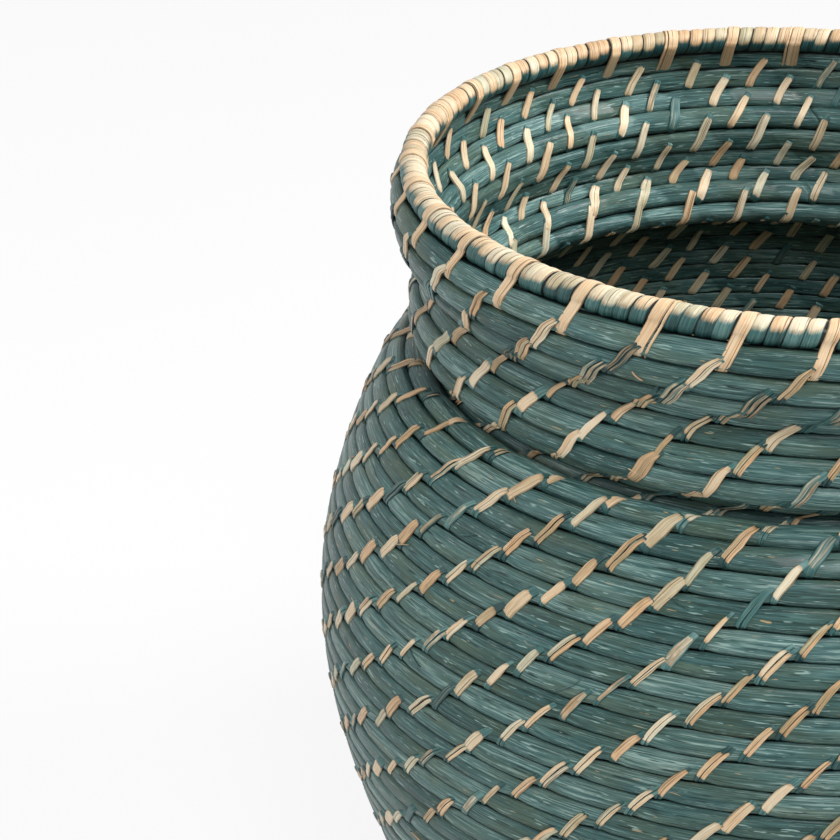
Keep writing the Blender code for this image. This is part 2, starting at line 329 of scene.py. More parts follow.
def bundle_state(travel):
    """Turns below the rim and share of full thickness at this travel: past its end comes the rim."""
    depth = bundle_depth(travel)
    thickness = section_thickness(depth)
    rise = climb(travel - LAST_TURN_START)
    thinning = travel >= LAST_TURN_START
    depth = np.where(thinning, 1.0 - rise / 2, depth)
    thickness = np.where(thinning, tail_thickness(rise), thickness)
    ended = travel > TAIL_END
    return np.where(ended, 0.0, depth), np.where(ended, RIM_THICKNESS / COIL_DIAMETER, thickness)


def travel_of(turn, azimuth):
    return (START_TURN - turn) * FULL_TURN + (azimuth - LEVEL_START) % FULL_TURN


def round_axis(reach, angle, level):
    """Places this far from the basket's axis, at this angle in radians and this level."""
    return np.stack([reach * np.cos(angle), reach * np.sin(angle), level], axis=-1)


def in_section(travel, depth, out, up):
    """Places in the bundle's own section: this far out of the wall and this far up along it."""
    radius, height = section_point(depth)
    normal_out, normal_up = section_normal(depth)
    reach = radius + normal_out * out - normal_up * up
    level = RIM_HEIGHT + height + normal_up * out + normal_out * up
    return round_axis(reach, np.radians(LEVEL_START + travel), level)


def binding_travels():
    """Travel of everything that binds the bundle, at its lower end: the stitches, then the wide splints."""
    collar_start = travel_of(COLLAR_TURNS, LEVEL_START)
    anchor = travel_of(*BELLY_STITCH_AT)
    first = math.ceil(-anchor / STITCH_ANGLE)
    last = math.floor((collar_start - anchor) / STITCH_ANGLE)
    belly = anchor + STITCH_ANGLE * np.arange(first, last + 1)
    anchor = travel_of(*COLLAR_STITCH_AT)
    first = math.ceil((belly[-1] + COLLAR_STITCH_ANGLE / 2 - anchor) / COLLAR_STITCH_ANGLE)
    last = math.floor((SPLINTS_START - anchor) / COLLAR_STITCH_ANGLE)
    collar = anchor + COLLAR_STITCH_ANGLE * np.arange(first, last + 1)
    step = FULL_TURN / SPLINT_COUNT
    lower_end = SPLINT_PHASE - LEVEL_START - math.degrees(SPLINT_SLANT / 2 / RIM_RADIUS)
    first = math.ceil((SPLINTS_START - lower_end) / step)
    splints = lower_end + step * np.arange(first, first + SPLINT_COUNT + 2)
    return np.concatenate((belly, collar)), splints


STITCHES, SPLINTS = binding_travels()


def laid_stitches(travels):
    """The stitches that are laid: every one on the wall, fewer towards the middle of the base."""
    spacing = np.radians(STITCH_ANGLE) * bundle_radius(travels)
    stride = 2 ** np.ceil(np.log2(np.maximum(1.0, LEAST_STITCH_SPACING / spacing))).astype(int)
    return travels[(np.arange(len(travels)) % stride == 0) & (travels > 0)]


LAID = laid_stitches(STITCHES)
KNOT_BINDINGS = np.linspace(INNER_END, 0.0, KNOT_BINDING_COUNT + 1)[:-1]
BINDINGS = np.concatenate((KNOT_BINDINGS, LAID, SPLINTS))


def lean_share(radius):
    return np.minimum(1.0, radius / FULL_LEAN_RADIUS)


# Meshes.

def put_in_scene(name, data):
    body = bpy.data.objects.new(name, data)
    bpy.context.scene.collection.objects.link(body)
    return body


def into_mesh(shape, name):
    mesh = bpy.data.meshes.new(name)
    shape.to_mesh(mesh)
    shape.free()
    return mesh


def new_object(name, mesh, material, replaced=()):
    mesh.materials.append(material)
    piece = put_in_scene(name, mesh)
    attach(piece, "root")
    if replaced:
        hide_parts(*replaced)


def coordinates(mesh):
    values = np.zeros(len(mesh.vertices) * 3, np.float32)
    mesh.vertices.foreach_get("co", values)
    return values.reshape(-1, 3).astype(float)


def set_coordinates(mesh, places):
    mesh.vertices.foreach_set("co", np.asarray(places, np.float32).ravel())
    mesh.update()


def set_uv(mesh, along, across):
    """Gives each corner the values of its vertex."""
    layer = mesh.uv_layers.new(name="UVMap")
    corner = np.zeros(len(mesh.loops), np.int32)
    mesh.loops.foreach_get("vertex_index", corner)
    values = np.stack([along[corner], across[corner]], axis=1)
    layer.data.foreach_set("uv", values.astype(np.float32).ravel())


def set_attribute(mesh, name, values):
    mesh.attributes.new(name, "FLOAT", "POINT").data.foreach_set("value", values.astype(np.float32))


def flat_blank(steps, columns):
    """A flat strip of faces. Its vertices run over whole numbers: steps along X, columns along Y."""
    shape = bmesh.new()
    bmesh.ops.create_grid(shape, x_segments=steps, y_segments=columns, size=0.5)
    bmesh.ops.translate(shape, verts=shape.verts, vec=(0.5, 0.5, 0.0))
    bmesh.ops.scale(shape, verts=shape.verts, vec=(steps, columns, 1.0))
    return into_mesh(shape, "blank")


def closed_tube(mesh, weld):
    """Joins the two long edges of a rolled strip, closes its ends and turns its faces outwards."""
    shape = bmesh.new()
    shape.from_mesh(mesh)
    rim = [vert for vert in shape.verts if vert.is_boundary]
    bmesh.ops.remove_doubles(shape, verts=rim, dist=weld)
    ends = [edge for edge in shape.edges if edge.is_boundary]
    bmesh.ops.holes_fill(shape, edges=ends, sides=0)
    bmesh.ops.recalc_face_normals(shape, faces=shape.faces)
    shape.to_mesh(mesh)
    shape.free()


def turn_out(mesh):
    """Turns the faces of closed shapes outwards."""
    shape = bmesh.new()
    shape.from_mesh(mesh)
    bmesh.ops.recalc_face_normals(shape, faces=shape.faces)
    shape.to_mesh(mesh)
    shape.free()


def slow_noise(count, rows, step):
    """Slow random values from -1 to 1: one row for each strand."""
    knots = between(-1.0, 1.0, (rows, count // step + 3))
    spots = np.arange(count) / step
    return np.stack([np.interp(spots, np.arange(knots.shape[1]), row) for row in knots])


def strip_blank(shares, section):
    """One straight strip of cane. X runs along it from 0 to 1, Y across from -1 to 1, Z out from 0 to 1."""
    columns = len(section)
    mesh = flat_blank(len(shares) - 1, columns)
    spots = np.rint(coordinates(mesh)).astype(int)
    across = np.array(section)[spots[:, 1] % columns]
    set_coordinates(mesh, np.column_stack([np.array(shares)[spots[:, 0]], across]))
    closed_tube(mesh, BLANK_WELD)
    return mesh


def many(blank, count):
    """Copies of a blank strip in one mesh. Each vertex has its strip's number and its place on the blank."""
    shape = bmesh.new()
    for _ in range(count):
        shape.from_mesh(blank)
    mesh = into_mesh(shape, "strips")
    spots = coordinates(mesh)
    return mesh, np.arange(len(spots)) // len(blank.vertices), *spots.T


def finish_cane(mesh, tone, across, dye, smooth):
    """Gives strips of cane what their material reads, and sharp edges above this many degrees."""
    set_attribute(mesh, "tone", tone)
    set_attribute(mesh, "edge", np.abs(across))
    set_attribute(mesh, "dye", dye)
    turn_out(mesh)
    mesh.set_sharp_from_angle(angle=math.radians(smooth))


# Materials.

class Nodes:
    """A material's node tree, with short ways to add and join nodes."""

    def __init__(self, name):
        self.material = bpy.data.materials.new(name)
        self.material.use_nodes = True
        self.tree = self.material.node_tree
        self.shader = self.tree.nodes["Principled BSDF"]
        self.output = self.tree.nodes["Material Output"]

    def add(self, kind, **settings):
        node = self.tree.nodes.new(kind)
        for key, value in settings.items():
            setattr(node, key, value)
        return node

    def join(self, value, socket):
        if isinstance(value, bpy.types.NodeSocket):
            self.tree.links.new(value, socket)
        else:
            socket.default_value = value

    def math(self, operation, first, second=0.0, clamp=False):
        node = self.add("ShaderNodeMath", operation=operation, use_clamp=clamp)
        self.join(first, node.inputs[0])
        self.join(second, node.inputs[1])
        return node.outputs[0]

    def add_up(self, *terms):
        """The sum of values, each times its own weight."""
        total = 0.0
        for value, weight in terms:
            total = self.math("ADD", self.math("MULTIPLY", value, weight), total)
        return total

    def uv(self):
        spot = self.add("ShaderNodeSeparateXYZ")
        self.join(self.add("ShaderNodeTexCoord").outputs["UV"], spot.inputs[0])
        return spot.outputs[0], spot.outputs[1]

    def attribute(self, name):
        return self.add("ShaderNodeAttribute", attribute_name=name).outputs["Fac"]

    def streaks(self, along, across, length, width, seed, detail=2.0, roughness=0.5):
        """Random streaks of about this length and width."""
        place = self.add("ShaderNodeCombineXYZ")
        self.join(self.math("MULTIPLY", along, 1.0 / length), place.inputs[0])
        self.join(self.math("MULTIPLY", across, 1.0 / width), place.inputs[1])
        self.join(seed, place.inputs[2])
        node = self.add("ShaderNodeTexNoise")
        node.inputs["Scale"].default_value = 1.0
        node.inputs["Detail"].default_value = detail
        node.inputs["Roughness"].default_value = roughness
        self.join(place.outputs[0], node.inputs["Vector"])
        return node.outputs[0]

    def ramp(self, value, stops):
        node = self.add("ShaderNodeValToRGB")
        ramp = node.color_ramp
        while len(ramp.elements) < len(stops):
            ramp.elements.new(0.5)
        for element, (place, colour) in zip(ramp.elements, stops):
            element.position = place
            element.color = (*colour, 1.0)
        self.join(value, node.inputs[0])
        return node.outputs[0]

    def range(self, value, low, high, to_low=0.0, to_high=1.0):
        node = self.add("ShaderNodeMapRange")
        self.join(value, node.inputs[0])
        for index, setting in enumerate((low, high, to_low, to_high), start=1):
            self.join(setting, node.inputs[index])
        return node.outputs[0]

    def mix(self, share, first, second):
        """A mix of two colours, whose sockets are the seventh and eighth of a Mix node."""
        node = self.add("ShaderNodeMix", data_type="RGBA")
        self.join(share, node.inputs[0])
        for value, socket in zip((first, second), node.inputs[6:8]):
            if isinstance(value, tuple):
                value = (*value, 1.0)
            self.join(value, socket)
        return node.outputs[2]

    def finish(self, colour, roughness, height, depth):
        self.join(colour, self.shader.inputs["Base Color"])
        self.join(roughness, self.shader.inputs["Roughness"])
        bump = self.add("ShaderNodeBump")
        bump.inputs["Strength"].default_value = 1.0
        bump.inputs["Distance"].default_value = depth
        self.join(height, bump.inputs["Height"])
        self.join(bump.outputs[0], self.shader.inputs["Normal"])
        return self.material


TEAL_BLACK = (0.007, 0.019, 0.017)
TEAL_DEEP = (0.016, 0.047, 0.043)
TEAL_DARK = (0.033, 0.084, 0.081)
TEAL = (0.051, 0.121, 0.117)
TEAL_GREY = (0.082, 0.168, 0.161)
TEAL_PALE = (0.270, 0.395, 0.360)
TEAL_GREEN = (0.082, 0.115, 0.070)
STRAW = (0.420, 0.310, 0.160)
GROOVE_SHADE = (0.005, 0.009, 0.008)
CANE_BROWN = (0.150, 0.090, 0.042)
CANE_STAINED = (0.300, 0.170, 0.070)
CANE_OLIVE = (0.300, 0.235, 0.125)
CANE_TAN = (0.590, 0.365, 0.195)
CANE_CREAM = (0.680, 0.500, 0.310)
CANE_PALE = (0.710, 0.640, 0.480)
CANE_GREEN = (0.380, 0.350, 0.220)
CANE_STRAW = (0.510, 0.490, 0.350)
DYED_CANE_DARK = (0.010, 0.042, 0.042)
DYED_CANE = (0.038, 0.118, 0.112)
DYED_CANE_PALE = (0.130, 0.245, 0.225)
FIBRE_COVER = 0.85            # how much of the straw's colour a dark, pale or undyed fibre hides; the pale ones are partly painted glints
STRAW_FIBRES = [  # length and width in millimetres, seed, values of the noise over which it shows, colour
    (13, 0.40, 15.0, 0.37, 0.32, TEAL_BLACK),
    # The pale dashes are pale fibres and also painted glints of the strands' gloss.
    (8, 0.34, 21.0, 0.63, 0.67, TEAL_PALE),
    (8, 0.40, 27.0, 0.71, 0.73, STRAW),
]
STRAW_BUMP = 0.36 * MM
CANE_BUMP = 0.18 * MM
DYE_MIDDLE = 0.48             # value of the dye at which cane is half dyed
DYE_RAGGED = 0.08


def dyed_straw():
    """Satin teal straw: fine strands along the bundle, pale hairlines that partly stand for painted glints, a
    few undyed fibres, and painted shade in the grooves, deeper beside the stitches.
    """
    nodes = Nodes("dyed_straw")
    along, girth = nodes.uv()
    own = nodes.attribute("tone")
    drift = nodes.streaks(along, girth, length=60 * MM, width=30 * MM, seed=3.0)
    across = nodes.math("ADD", girth, nodes.range(drift, 0.3, 0.7, -0.2 * MM, 0.2 * MM))
    bands = nodes.streaks(along, across, length=70 * MM, width=1.0 * MM, seed=5.0, detail=1.0)
    hairs = nodes.streaks(along, across, length=22 * MM, width=0.36 * MM, seed=9.0, detail=3.0, roughness=0.7)
    patch = nodes.streaks(along, girth, length=16 * MM, width=9 * MM, seed=12.0)
    tone = nodes.add_up((hairs, 0.74), (bands, 0.08), (patch, 0.05), (own, 0.13))
    colour = nodes.ramp(tone, [
        (0.39, TEAL_DEEP), (0.45, TEAL_DARK), (0.505, TEAL), (0.56, TEAL_GREY), (0.66, TEAL_PALE),
    ])
    green = nodes.streaks(along, girth, length=34 * MM, width=14 * MM, seed=33.0)
    colour = nodes.mix(nodes.range(green, 0.44, 0.68, 0.0, 0.55), colour, TEAL_GREEN)
    for length, width, seed, from_noise, to_noise, shade in STRAW_FIBRES:
        fibre = nodes.streaks(along, across, length * MM, width * MM, seed)
        colour = nodes.mix(nodes.range(fibre, from_noise, to_noise, 0.0, FIBRE_COVER), colour, shade)

    # Painted shade: the straw is painted almost black deep in the grooves between turns, and this painted
    # shade spreads farther beside each stitch.
    edge = nodes.range(nodes.attribute("pinch"), 0.0, 1.0, 0.57, 0.04)
    groove = nodes.range(nodes.attribute("groove"), edge, nodes.math("ADD", edge, 0.32))
    colour = nodes.mix(nodes.math("MULTIPLY", groove, 0.94), colour, GROOVE_SHADE)
    roughness = nodes.range(hairs, 0.3, 0.7, 0.32, 0.55)
    nodes.shader.inputs["Specular IOR Level"].default_value = 0.13
    nodes.shader.inputs["Coat Weight"].default_value = 0.15
    nodes.shader.inputs["Coat Roughness"].default_value = 0.13
    return nodes.finish(colour, roughness, hairs, STRAW_BUMP)


def split_cane(name, soft, pale):
    """Flat split cane with fibres along it. Its dye, its edges and its own tone come from the mesh.

    Soft is how slowly the dye gives way to bare cane, and pale is added to the tone.
    """
    nodes = Nodes(name)
    along, across = nodes.uv()
    own = nodes.attribute("tone")
    edge = nodes.attribute("edge")
    shift = nodes.math("MULTIPLY", own, 91.0)

    def streaks(length, width, past, **settings):
        seed = nodes.math("ADD", shift, past)
        return nodes.streaks(along, across, length * MM, width * MM, seed, **settings)

    fibre = streaks(10, 0.38, 0.0, roughness=0.6)
    patch = streaks(4.0, 2.0, 7.0)
    tone = nodes.math("ADD", nodes.add_up((fibre, 0.62), (own, 0.30), (patch, 0.14)), pale)
    warm = nodes.ramp(tone, [(0.34, CANE_OLIVE), (0.45, CANE_TAN), (0.58, CANE_CREAM), (0.74, CANE_PALE)])
    cool = nodes.ramp(tone, [(0.34, CANE_OLIVE), (0.45, CANE_GREEN), (0.56, CANE_STRAW), (0.72, CANE_PALE)])
    hue = nodes.math("FRACT", nodes.math("MULTIPLY", own, 7.3))
    colour = nodes.mix(nodes.range(hue, 0.45, 0.95), warm, cool)
    line = streaks(40, 0.40, 13.0, detail=1.0)
    colour = nodes.mix(nodes.range(line, 0.37, 0.33, 0.0, 0.9), colour, CANE_BROWN)

    teal = nodes.ramp(nodes.add_up((fibre, 0.7), (own, 0.3)), [
        (0.40, DYED_CANE_DARK), (0.57, DYED_CANE), (0.76, DYED_CANE_PALE),
    ])
    ragged = nodes.range(streaks(12, 0.45, 19.0), 0.3, 0.7, -DYE_RAGGED, DYE_RAGGED)
    border = nodes.range(edge, 0.66, 1.0, 0.0, 0.26)
    dyed = nodes.add_up((nodes.attribute("dye"), 1.0), (ragged, 1.0), (border, 1.0))
    stain = nodes.math("MULTIPLY", nodes.range(dyed, 0.12, 0.38), nodes.range(patch, 0.40, 0.60, 0.0, 0.6))
    colour = nodes.mix(stain, colour, CANE_STAINED)
    colour = nodes.mix(nodes.range(dyed, DYE_MIDDLE - soft, DYE_MIDDLE + soft), colour, teal)
    colour = nodes.mix(nodes.range(edge, 0.84, 1.0, 0.0, 0.6), colour, TEAL_BLACK)
    roughness = nodes.range(fibre, 0.3, 0.7, 0.34, 0.52)
    nodes.shader.inputs["Specular IOR Level"].default_value = 0.35
    return nodes.finish(colour, roughness, fibre, CANE_BUMP)


# Bundles.

def ring_row():
    """Travel of the rings of points round the bundle, which lie closest beside each binding."""
    order = (np.arange(len(BINDINGS) - 1)[:, None] + np.array(RING_SHARES)[None, :]).ravel()
    travel = np.interp(order, np.arange(len(BINDINGS)), BINDINGS)
    steps = np.radians(np.diff(travel)) * bundle_radius(travel)[1:]
    length = np.concatenate(([0.0], np.cumsum(steps)))
    return travel, length


RING_TRAVEL, RING_LENGTH = ring_row()
STRAND_DRIFT = slow_noise(len(RING_TRAVEL), STRAND_COUNT, WANDER_STEP)
SEGMENT_TONES = between(0.0, 1.0, len(BINDINGS) + 1)


def pinch(travel):
    """How near a place on the bundle is to a binding, from 0 to 1."""
    after = np.searchsorted(BINDINGS, travel).clip(1, len(BINDINGS) - 1)
    away = np.minimum(np.abs(travel - BINDINGS[after - 1]), np.abs(BINDINGS[after] - travel))
    return np.exp(-((np.radians(away) * bundle_radius(travel) / PINCH_WIDTH) ** 2))


def slanted(travel, up_share):
    """Travel at this height of the bundle, from -1 to 1, on a ring that leans as the stitches do."""
    radius = bundle_radius(travel)
    return travel + np.degrees(STITCH_SLOPE * lean_share(radius) * (0.5 + up_share / 2) / radius)


def in_grooves(travel, places):
    """How deep each place is in a groove beside another turn, from 0 to 1, for the painted groove shade."""
    reach = np.hypot(places[:, 0], places[:, 1])
    deepest = np.zeros(len(places))
    for turn in (-FULL_TURN, FULL_TURN):
        depth, thickness = bundle_state(travel + turn)
        radius, height = section_point(depth)
        normal_out, normal_up = section_normal(depth)
        beyond, above = reach - radius, places[:, 2] - RIM_HEIGHT - height
        out = np.abs(normal_out * beyond + normal_up * above) / BUNDLE_HALF_DEPTH
        up = np.abs(normal_out * above - normal_up * beyond) / BUNDLE_HALF_HEIGHT
        power = squareness(depth)
        size = (out ** power + up ** power) ** (1.0 / power)
        gap = (size - thickness) * BUNDLE_HALF_HEIGHT
        deepest = np.maximum(deepest, 1.0 - gap / GROOVE_REACH)
    return np.clip(deepest, 0.0, 1.0)


def straw_bundle(name, begin, end, material, node, flat=False):
    """One length of the bundle: strands round a squarish section, drawn in at every binding."""
    travel = RING_TRAVEL[(RING_TRAVEL > begin + RING_MARGIN) & (RING_TRAVEL < end - RING_MARGIN)]
    travel = np.concatenate(([begin], travel, [end]))
    columns = STRAND_COUNT * 2
    mesh = flat_blank(len(travel) - 1, columns)
    spots = np.rint(coordinates(mesh)).astype(int)
    ring, column = spots[:, 0], spots[:, 1]

    angle = 2 * math.pi * column / columns
    cosine, sine = np.cos(angle), np.sin(angle)
    power = 2.0 / squareness(bundle_state(travel)[0])[ring]
    out_share = np.sign(cosine) * np.abs(cosine) ** power
    up_share = np.sign(sine) * np.abs(sine) ** power
    spot = slanted(travel[ring], up_share)
    depth, thickness = bundle_state(spot)
    near = pinch(travel)
    drift = np.stack([np.interp(travel, RING_TRAVEL, row) for row in STRAND_DRIFT])
    crest = column % 2
    wander = drift[column // 2 % STRAND_COUNT, ring]
    relief = STRAND_RELIEF * (2 * crest - 1) + STRAND_WANDER * crest * wander
    drawn_in = 1.0 - PINCH_DEPTH * near[ring]
    out = (out_share * BUNDLE_HALF_DEPTH + cosine * relief) * thickness * drawn_in
    out = np.where(out > 0.0, out * under_share(depth), out)
    up = (up_share * BUNDLE_HALF_HEIGHT + sine * relief) * thickness
    up = up * (1.0 - PINCH_DEPTH * near[ring] * np.abs(out_share))
    places = in_section(spot, depth, out, up * (FLAT_SPREAD if flat else WALL_SPREAD))
    if flat:
        places[:, 2] = np.maximum(places[:, 2], STITCH_THICKNESS + STITCH_SEAT)
    set_coordinates(mesh, places)
    length = np.interp(travel, RING_TRAVEL, RING_LENGTH)
    set_uv(mesh, length[ring], BUNDLE_GIRTH * column / columns)
    # Where the material paints shade: near the stitches and deep in the grooves.
    set_attribute(mesh, "pinch", near[ring])
    set_attribute(mesh, "groove", in_grooves(spot, places))
    segment = np.searchsorted(BINDINGS, travel, side="right")
    set_attribute(mesh, "tone", SEGMENT_TONES[segment][ring])
    closed_tube(mesh, TUBE_WELD)
    mesh.shade_smooth()
    new_object(name, mesh, material, [node])


# Stitches.

def on_bundle(travel, middle_travel, height, side, lift):
    """Places on the bundle's face, or this far off it.

    The height is in turns above the groove below the bundle, so that the turn above begins at 1.
    Side is 1 for the outer face and -1 for the inner one.
    """
    turn = np.floor(height)
    up_share = 2.0 * (height - turn) - 1.0
    depth, thickness = bundle_state(travel + turn * FULL_TURN)
    power = squareness(depth)
    out_share = (1.0 - np.minimum(np.abs(up_share), 1.0) ** power) ** (1.0 / power)
    half_depth = BUNDLE_HALF_DEPTH * (under_share(depth) if side > 0 else 1.0)
    normal_out = out_share ** (power - 1.0) / half_depth
    normal_up = np.sign(up_share) * np.abs(up_share) ** (power - 1.0) / BUNDLE_HALF_HEIGHT
    size = np.hypot(normal_out, normal_up)
    radius = section_point(depth)[0]
    ring = middle_travel + turn * FULL_TURN
    ring = ring - np.degrees(STITCH_SLOPE * lean_share(radius) * (0.5 + up_share / 2) / radius)
    scale = thickness * (1.0 - PINCH_DEPTH * pinch(ring))
    out = out_share * half_depth * scale + lift * normal_out / size
    up = up_share * BUNDLE_HALF_HEIGHT * scale + lift * normal_up / size
    return in_section(travel + turn * FULL_TURN, depth, side * out, up)


def across_grooves(travel, middle_travel, height, side, lift):
    """Places on the bundle's face, or on a straight bridge over the groove to the turn above."""
    places = on_bundle(travel, middle_travel, height, side, lift)
    hollow = side * np.interp(bundle_depth(travel) - 0.5, TURNS, HOLLOWS) / SHARP_BEND
    reach = (OUTER_BRIDGE if side > 0 else INNER_BRIDGE) + HOLLOW_BRIDGE * np.clip(hollow, 0.0, 1.0)
    low = 1.0 - reach
    high = 1.0 + reach
    start = on_bundle(travel, middle_travel, low, side, lift)
    end = on_bundle(travel, middle_travel, high, side, lift)
    share = (height - low) / (high - low)
    bridge = start + (end - start) * share[:, None]
    return np.where(((share > 0.0) & (share < 1.0))[:, None], bridge, places)


def lay_strips(name, strips, side, material):
    """Lays strips of cane over the bundles, on the outer side (1) or the inner side (-1) of the wall."""
    mesh, owner, share, across, raised = many(strip_blank(STRIP_SHARES, STRIP_SECTION), len(strips))
    value = {key: np.array([strip[key] for strip in strips])[owner] for key in strips[0]}
    reach = value["high"] - value["low"]
    swing = value["bend"] * share * share + (1.0 - value["bend"]) * share
    tilt = np.arctan2(value["lean"], reach * COIL_PITCH)
    taper = 1.0 - value["taper"] * np.clip(share * TAPER_RISE - TAPER_DELAY, 0.0, 1.0)
    off = (value["offset"] + value["half_width"] * across) * taper
    radius = bundle_radius(value["travel"])
    lean = value["lean"] * lean_share(radius)
    middle_travel = value["travel"] + np.degrees(lean * swing / radius)
    travel = middle_travel + np.degrees(off * np.cos(tilt) / radius)
    height = value["low"] + reach * share
    height = np.maximum(height - off * np.sin(tilt) / COIL_PITCH, LEAST_HEIGHT)

    sunk = np.clip((share - SINK_FROM) / SINK_SPAN, 0.0, 1.0) * value["sink"]
    lift = STITCH_SEAT + value["lift"] * np.sin(share * math.pi) - sunk + raised * STITCH_THICKNESS
    places = across_grooves(travel, middle_travel, height, side, lift)
    places[:, 2] = np.maximum(places[:, 2], FLOOR_GAP)
    set_coordinates(mesh, places)
    set_uv(mesh, share * (reach * COIL_PITCH / np.cos(tilt)), off)
    low_dye = 0.5 + (value["dye_low"] - share) * DYE_EDGE
    high_dye = 0.5 + (value["dye_high"] - (1.0 - share)) * DYE_EDGE
    dye = np.clip(np.maximum(np.maximum(low_dye, high_dye), value["dye"]), 0.0, 1.0)
    finish_cane(mesh, value["tone"], across, dye, STRIP_SMOOTH)
    new_object(name, mesh, material)


def outer_strips(travels):
    """The strips of every outer stitch: one wide or narrow one, two side by side, or a group of three."""
    strips = []
    for travel in travels:
        depth = float(bundle_depth(travel))
        count, width = stitch_make(depth)
        top = STITCH_HEIGHT + random_draw.normal(0.0, 0.03)
        if WAIST_TURNS[0] < depth < WAIST_TURNS[1]:
            top = WAIST_STITCH_HEIGHT
        lean = STITCH_SLOPE * top * random_draw.normal(1.0, 0.08)
        if depth < UPPER_ROLL_END:
            lean *= UPPER_ROLL_LEAN
        tone = between(0.0, 1.0)
        often = DYED_TURNS[0] < depth < DYED_TURNS[1]
        dye = dye_all_over(DYED_SHARE if often else DYED_SHARE_ELSEWHERE, 0.42, 0.60)
        dye_low = between(0.11, 0.21)
        dye_high = between(0.05, 0.20)
        bend = between(0.40, 0.75)
        place = travel + random_draw.normal(0.0, 0.30)
        each = width / count
        for number in range(count):
            strips.append(dict(
                travel=place, low=0.0, high=top + random_draw.normal(0.0, 0.03), lean=lean, bend=bend,
                offset=(number - (count - 1) / 2) * each,
                half_width=each / 2 - (count > 1) * between(0.01, 0.09) * MM,
                taper=between(0.05, 0.50), lift=between(0.0, 0.18) * MM, sink=SINK,
                tone=float(np.clip(tone + random_draw.normal(0.0, 0.12), 0.0, 1.0)), dye=dye,
                dye_low=dye_low * between(0.7, 1.4), dye_high=dye_high * between(0.7, 1.4),
            ))
    return strips


def stitch_make(depth):
    """How many strips a stitch has, and its width."""
    kind = random_draw.random()
    makes = next(makes for end, makes in STITCH_MAKES if depth < end)
    count, least, most = next(make for below, *make in makes if kind < below)
    return count, between(least, most) * MM


def dye_all_over(share, least, most):
    """The dye that a strip has all over. This share of the strips has some."""
    if random_draw.random() < share:
        return between(least, most)
    return 0.0


def inner_strips(travels):
    """The strips of every stitch on the inner side, where each one comes down again to the groove."""
    strips = []
    for travel in travels:
        radius = float(bundle_radius(travel))
        dye = dye_all_over(DYED_SHARE_INSIDE, 0.45, 0.62)
        shift = random_draw.normal(12.5, 0.8) * MM * lean_share(radius)
        strips.append(dict(
            travel=travel + math.degrees(shift / radius), low=0.0,
            high=STITCH_HEIGHT + random_draw.normal(0.0, 0.04), lean=random_draw.normal(-6.2, 0.9) * MM,
            bend=between(-0.1, 0.3), offset=0.0, half_width=between(1.3, 2.0) * MM,
            taper=between(0.0, 0.3), lift=between(0.1, 0.4) * MM, sink=SINK,
            tone=between(0.4, 1.0), dye=dye, dye_low=between(0.02, 0.12),
            dye_high=between(0.03, 0.15),
        ))
    return strips


def loose_fibres(travels):
    """A few thin fibres that have come away from the bundle and lie askew on it."""
    strips = []
    for travel in random_draw.choice(travels, FIBRE_COUNT):
        strips.append(dict(
            travel=travel + between(0.0, STITCH_ANGLE), low=between(0.1, 0.9),
            high=between(0.1, 0.9), lean=between(3.0, 9.0) * MM,
            bend=between(-0.5, 0.5), offset=0.0,
            half_width=between(0.07, 0.14) * MM, taper=0.6,
            lift=between(0.0, 0.4) * MM, sink=FIBRE_SINK, tone=between(0.3, 1.0),
            dye=random_draw.choice([0.0, 1.0]), dye_low=0.0, dye_high=0.0,
        ))
    return strips


# Rim.

def rim_tube(material):
    """The straw core of the rim, painted dark with groove shade where it shows between its wraps."""
    mesh = flat_blank(RIM_STEPS, RIM_COLUMNS)
    spots = np.rint(coordinates(mesh)).astype(int)
    turned = 2 * math.pi * spots[:, 0] / RIM_STEPS
    angle = 2 * math.pi * spots[:, 1] / RIM_COLUMNS
    reach = RIM_RADIUS + WRAP_BED * np.cos(angle)
    set_coordinates(mesh, round_axis(reach, turned, RIM_HEIGHT + WRAP_BED * np.sin(angle)))
    set_uv(mesh, turned * RIM_RADIUS, BUNDLE_GIRTH * spots[:, 1] / RIM_COLUMNS)
    # Painted shade: full pinch and groove paint the whole core in the dark groove colour.
    for name, value in (("pinch", 1.0), ("groove", 1.0), ("tone", 0.0)):
        set_attribute(mesh, name, np.full(len(spots), value))
    closed_tube(mesh, TUBE_WELD)
    mesh.shade_smooth()
    new_object("rim_bundle", mesh, material)


